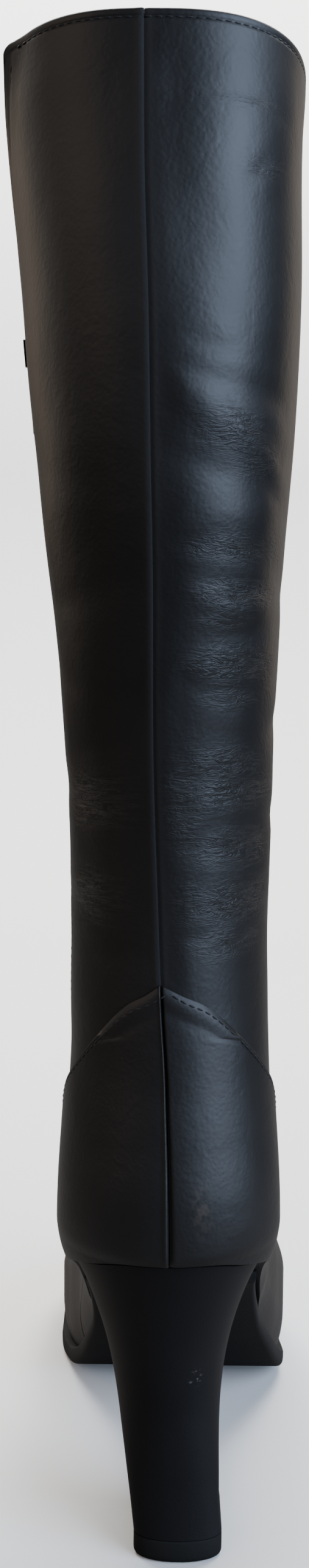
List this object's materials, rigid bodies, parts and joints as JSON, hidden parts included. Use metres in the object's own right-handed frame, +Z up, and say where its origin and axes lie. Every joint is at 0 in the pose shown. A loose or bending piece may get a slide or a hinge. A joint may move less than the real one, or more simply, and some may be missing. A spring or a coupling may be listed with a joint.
{
  "type": "knee-high boot",
  "caption": "Right knee-high boot with a slim block heel, a rounded forefoot sole, a pointed heel counter and a zip on the inner side.",
  "frame": {"origin": "middle of the heel's flat resting face, on the floor", "axes": "+Z up, +Y from the heel to the toe, +X to the outer (lateral) side of this right boot"},
  "size_m": [0.0925, 0.2477, 0.433],
  "materials": {
    "upper_leather": "smooth black leather with a soft sheen",
    "counter_leather": "smooth black leather with a soft sheen",
    "insole": "matt lining leather",
    "outsole": "matt black",
    "heel_cover": "matt black cover",
    "top_piece": "matt black",
    "zip_chain": "black woven tape and nylon chain",
    "zip_metal": "black lacquered metal"
  },
  "bodies": {
    "boot": {"upper": "upper_leather", "heel_counter": "counter_leather", "insole": "insole", "outsole": "outsole", "heel": "heel_cover", "top_piece": "top_piece", "zip_rear": "zip_chain", "zip_front": "zip_chain", "zip_slider": "zip_metal"},
    "pull": {"zip_pull": "zip_metal"}
  },
  "joints": [
    {"name": "pull_swing", "type": "hinge", "parent": "boot", "child": "pull", "pos_m": [-0.04728, 0.01827, 0.35996], "axis": [0, 1, 0], "range_deg": [0, 150]}
  ]
}
